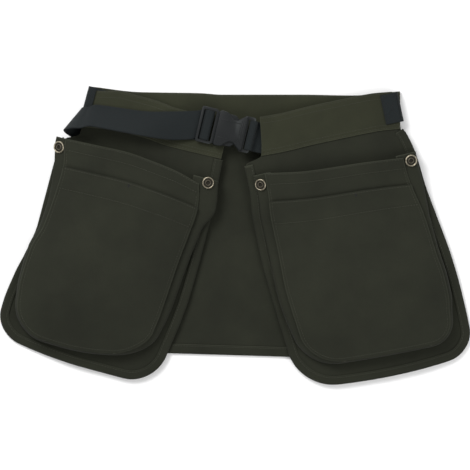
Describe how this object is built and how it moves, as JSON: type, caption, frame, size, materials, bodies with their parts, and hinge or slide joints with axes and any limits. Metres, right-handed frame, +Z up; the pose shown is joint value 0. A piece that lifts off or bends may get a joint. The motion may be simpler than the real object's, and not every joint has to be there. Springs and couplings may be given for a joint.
{
  "type": "apron",
  "caption": "Waist apron for garden work in olive canvas, with two splayed front panels, bellows pockets with slot pockets, and a webbing belt fastened by a side-release buckle",
  "frame": {"origin": "a point on the underside of the back panel, 185 mm below the waist line, which lies on the floor", "axes": "+X across the apron, to the viewer's right of its outside; +Y along the floor to the waist; +Z up, out of the front panels"},
  "size_m": [0.6011, 0.3814, 0.0425],
  "materials": {
    "olive_canvas": "waxed cotton canvas, matt with a faint sheen",
    "olive_band": "the same canvas, folded double and stitched",
    "black_webbing": "ribbed woven webbing",
    "black_plastic": "moulded, satin with fine grain",
    "antique_brass": "darkened brass, rubbed bright at the rims"
  },
  "bodies": {
    "root": {"back_panel": "olive_canvas", "back_waistband": "olive_band", "back_hem": "olive_canvas", "left_front_panel": "olive_canvas", "right_front_panel": "olive_canvas", "left_waistband": "olive_band", "right_waistband": "olive_band", "left_edge_binding": "olive_canvas", "right_edge_binding": "olive_canvas", "left_pocket_face": "olive_canvas", "right_pocket_face": "olive_canvas", "left_slot_pocket": "olive_canvas", "right_slot_pocket": "olive_canvas", "left_pocket_gusset": "olive_canvas", "right_pocket_gusset": "olive_canvas", "left_side_strap": "black_webbing", "right_side_strap": "black_webbing", "belt_webbing": "black_webbing", "buckle_tab": "black_webbing", "buckle_male": "black_plastic", "buckle_female": "black_plastic", "left_outer_stud": "antique_brass", "left_inner_stud": "antique_brass", "right_outer_stud": "antique_brass", "right_inner_stud": "antique_brass"}
  },
  "joints": []
}
